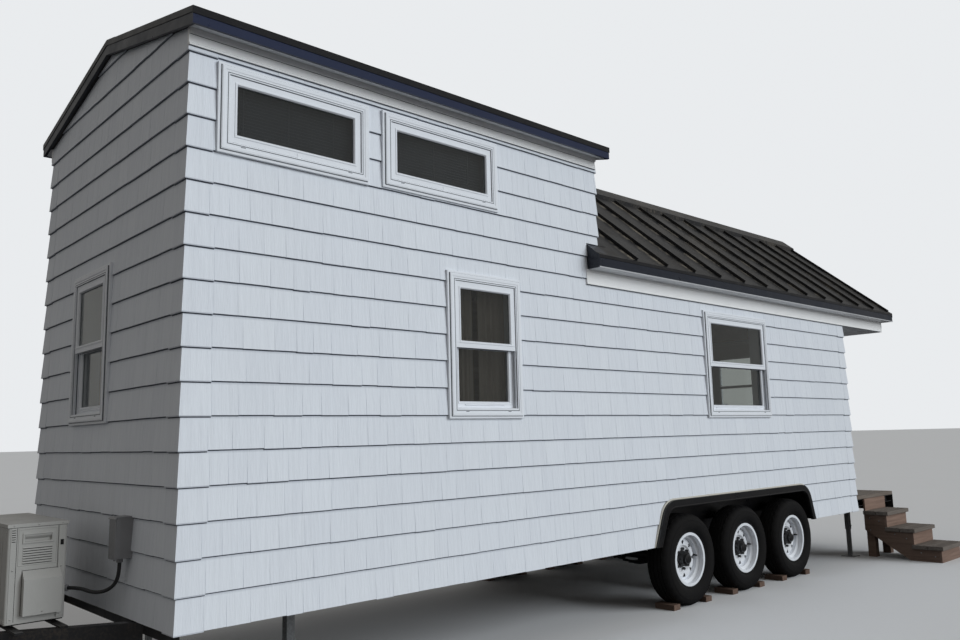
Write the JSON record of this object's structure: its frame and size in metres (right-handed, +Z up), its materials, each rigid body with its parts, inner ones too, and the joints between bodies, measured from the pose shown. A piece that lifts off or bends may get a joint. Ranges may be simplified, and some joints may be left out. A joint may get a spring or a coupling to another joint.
{
  "type": "tiny house on wheels",
  "caption": "Long narrow shingled house on a triple-axle trailer, with a raised front part under a low roof, a steep seamed metal roof behind, a porch and a side stair.",
  "frame": {"origin": "centre of the tongue jack's foot, on the ground", "axes": "+X from the tongue towards the porch, +Z up, -Y towards the side with the stair"},
  "size_m": [10.376, 3.336, 4.066],
  "materials": {
    "siding": "painted white, satin",
    "frieze": "painted white, satin",
    "trim": "white, satin",
    "glass": "clear",
    "roof_metal": "black, semi-gloss",
    "fascia": "black, satin",
    "soffit": "painted, matt",
    "door_skin": "painted, satin",
    "lever_metal": "satin",
    "floor_boards": "plain, matt",
    "deck_boards": "weathered, matt",
    "chassis": "black, satin",
    "fender_metal": "black, gloss",
    "galvanised": "zinc-coated, dull",
    "well_metal": "dark, matt",
    "tyre_rubber": "matt black",
    "wheel_white": "white, gloss",
    "spring_steel": "dark, dull",
    "stringer_wood": "stained brown, matt",
    "riser_wood": "stained dark, matt",
    "tread_wood": "weathered, matt",
    "chock_wood": "raw, matt",
    "cabinet_beige": "beige, satin",
    "grille_wire": "beige, satin",
    "box_grey": "grey, satin",
    "whip_rubber": "black, satin"
  },
  "bodies": {
    "house": {"near_wall_front": "siding", "near_wall_rear": "siding", "far_wall_front": "siding", "far_wall_rear": "siding", "front_wall": "siding", "rear_wall": "siding", "cheek_wall": "siding", "rear_gable": "siding", "floor": "floor_boards", "wheel_wells": "well_metal", "porch_deck": "deck_boards", "porch_ceiling": "soffit", "near_tower_roof": "roof_metal", "far_tower_roof": "roof_metal", "near_main_roof": "roof_metal", "far_main_roof": "roof_metal", "ridge_caps": "roof_metal", "tower_fascias": "fascia", "rake_boards": "fascia", "eave_boxes": "fascia", "frieze_boards": "frieze", "window_frames": "trim", "window_sashes": "trim", "door_frame": "trim", "window_glass": "glass", "entrance_door": "door_skin", "door_lever": "lever_metal", "main_rails": "chassis", "side_rails": "chassis", "cross_members": "chassis", "tongue_rails": "chassis", "coupler": "chassis", "axles": "chassis", "unit_supports": "chassis", "tongue_jack": "galvanised", "corner_jacks": "galvanised", "leaf_springs": "spring_steel", "spring_hangers": "spring_steel", "fenders": "fender_metal", "stair_stringers": "stringer_wood", "stair_risers": "riser_wood", "stair_treads": "tread_wood", "wheel_chocks": "chock_wood", "unit_cabinet": "cabinet_beige", "unit_grille": "grille_wire", "disconnect_box": "box_grey", "whip": "whip_rubber"},
    "near_front_wheel_body": {"near_front_tyre": "tyre_rubber", "near_front_wheel": "wheel_white"},
    "near_middle_wheel_body": {"near_middle_tyre": "tyre_rubber", "near_middle_wheel": "wheel_white"},
    "near_rear_wheel_body": {"near_rear_tyre": "tyre_rubber", "near_rear_wheel": "wheel_white"},
    "far_front_wheel_body": {"far_front_tyre": "tyre_rubber", "far_front_wheel": "wheel_white"},
    "far_middle_wheel_body": {"far_middle_tyre": "tyre_rubber", "far_middle_wheel": "wheel_white"},
    "far_rear_wheel_body": {"far_rear_tyre": "tyre_rubber", "far_rear_wheel": "wheel_white"}
  },
  "joints": [
    {"name": "near_front_wheel_spin", "type": "hinge", "parent": "house", "child": "near_front_wheel_body", "pos_m": [5.51, -1.1125, 0.38], "axis": [0, 1, 0], "continuous": true},
    {"name": "near_middle_wheel_spin", "type": "hinge", "parent": "house", "child": "near_middle_wheel_body", "pos_m": [6.415, -1.1125, 0.38], "axis": [0, 1, 0], "continuous": true},
    {"name": "near_rear_wheel_spin", "type": "hinge", "parent": "house", "child": "near_rear_wheel_body", "pos_m": [7.32, -1.1125, 0.38], "axis": [0, 1, 0], "continuous": true},
    {"name": "far_front_wheel_spin", "type": "hinge", "parent": "house", "child": "far_front_wheel_body", "pos_m": [5.51, 1.1125, 0.38], "axis": [0, 1, 0], "continuous": true},
    {"name": "far_middle_wheel_spin", "type": "hinge", "parent": "house", "child": "far_middle_wheel_body", "pos_m": [6.415, 1.1125, 0.38], "axis": [0, 1, 0], "continuous": true},
    {"name": "far_rear_wheel_spin", "type": "hinge", "parent": "house", "child": "far_rear_wheel_body", "pos_m": [7.32, 1.1125, 0.38], "axis": [0, 1, 0], "continuous": true}
  ]
}
